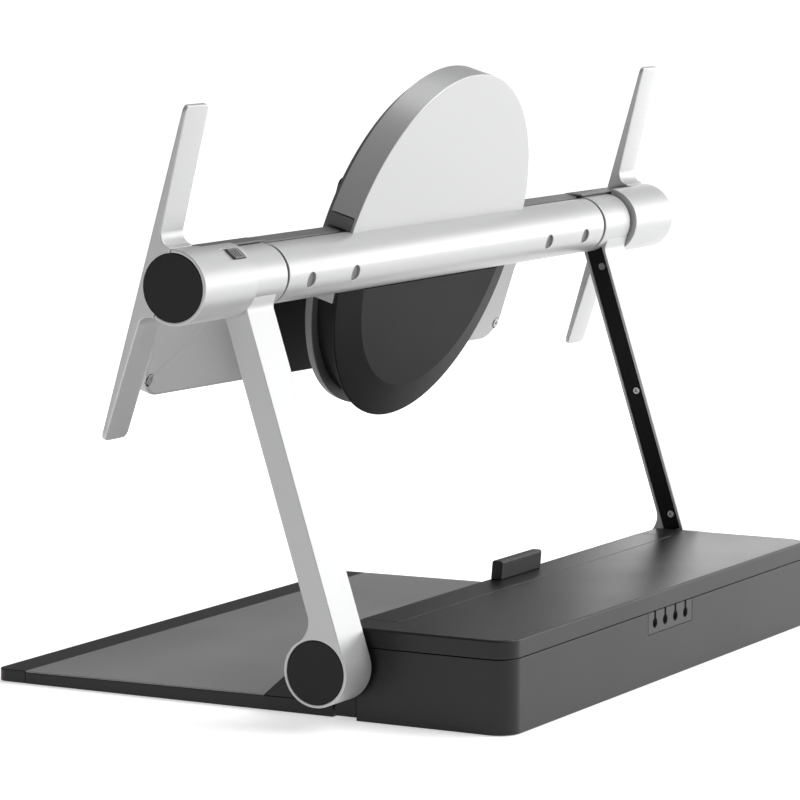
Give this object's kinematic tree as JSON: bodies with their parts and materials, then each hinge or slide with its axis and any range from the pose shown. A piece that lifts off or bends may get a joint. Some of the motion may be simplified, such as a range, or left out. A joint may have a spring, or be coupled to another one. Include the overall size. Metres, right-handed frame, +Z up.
{
  "type": "adjustable display stand",
  "caption": "Desk stand for a pen display: weighted base with a tray and a cable bay, leaning arms, and a tilting, turning head with release levers.",
  "frame": {"origin": "under the middle of the base, on the surface it stands on", "axes": "+Z up, +X to the right of a person sitting in front, +Y towards the rear, where the cables leave"},
  "size_m": [0.7232, 0.417, 0.4376],
  "materials": {
    "graphite": "satin",
    "mat": "matte",
    "soft": "matte",
    "steel": "satin",
    "bracket": "satin",
    "silver": "satin",
    "trim_grey": "satin",
    "black": "satin",
    "bronze": "satin"
  },
  "bodies": {
    "base": {"tray_plate": "graphite", "tray_front_strip": "graphite", "tray_mat": "mat", "floor_plate": "steel", "box_shell": "graphite", "ballast_block": "steel", "rubber_feet": "soft", "front_rail": "graphite", "bumper": "soft", "cable_grommet": "graphite", "hinge_bracket_left": "bracket", "hinge_bracket_right": "bracket", "pivot_shaft_left": "steel", "pivot_shaft_right": "steel", "friction_discs_left": "bracket", "friction_discs_right": "bracket", "hinge_ramp_left": "graphite", "hinge_ramp_right": "graphite"},
    "lid": {"lid": "graphite"},
    "arms": {"arm_shell_left": "silver", "arm_shell_right": "silver", "arm_inner_cover_left": "black", "arm_inner_cover_right": "black", "arm_cover_screws": "bracket", "hub_cap_left": "graphite", "hub_cap_right": "graphite", "pivot_bush_left": "bronze", "pivot_bush_right": "bronze", "collar_bush_left": "bronze", "collar_bush_right": "bronze"},
    "head": {"seal_ring_left": "black", "seal_ring_right": "black", "cross_beam": "silver", "beam_plugs": "trim_grey", "tilt_shaft": "steel", "yoke_rail": "silver", "barrel_left": "silver", "barrel_right": "silver", "end_cap_left": "graphite", "end_cap_right": "graphite", "head_disc": "steel", "upper_cover": "silver", "lower_cover": "black", "rim_block_left": "trim_grey", "rim_block_right": "trim_grey", "saddle_left": "silver", "saddle_right": "silver", "turn_spindle": "steel", "lever_springs": "steel"},
    "lock_slider": {"lock_slider": "trim_grey"},
    "display_mount": {"turn_housing": "black", "mount_wing_left": "silver", "mount_wing_right": "silver", "centre_panel": "black", "wing_screws": "trim_grey"},
    "lever_left": {"lever_left": "silver", "lever_pins_left": "steel"},
    "lever_right": {"lever_right": "silver", "lever_pins_right": "steel"}
  },
  "joints": [
    {"name": "lid_lift", "type": "slide", "parent": "base", "child": "lid", "axis": [0, 0, 1], "range_m": [0, 0.06]},
    {"name": "arm_lean", "type": "hinge", "parent": "base", "child": "arms", "pos_m": [0, 0.0811, 0.0397], "axis": [1, 0, 0], "range_deg": [-25, 45]},
    {"name": "head_tilt", "type": "hinge", "parent": "arms", "child": "head", "pos_m": [0, 0.01329, 0.30316], "axis": [-1, 0, 0], "range_deg": [-15, 55]},
    {"name": "mount_turn", "type": "hinge", "parent": "head", "child": "display_mount", "pos_m": [0, -0.0404, 0.31906], "axis": [0, -0.9588, 0.284], "range_deg": [-15, 15]},
    {"name": "lever_pull_left", "type": "slide", "parent": "head", "child": "lever_left", "axis": [0, -0.9588, 0.284], "range_m": [0, 0.004], "stiffness_N_per_m": 1500, "springref_m": -0.003},
    {"name": "lever_pull_right", "type": "slide", "parent": "head", "child": "lever_right", "axis": [0, -0.9588, 0.284], "range_m": [0, 0.004], "stiffness_N_per_m": 1500, "springref_m": -0.003},
    {"name": "lock_slide", "type": "slide", "parent": "head", "child": "lock_slider", "axis": [1, 0, 0], "range_m": [0, 0.008]}
  ]
}
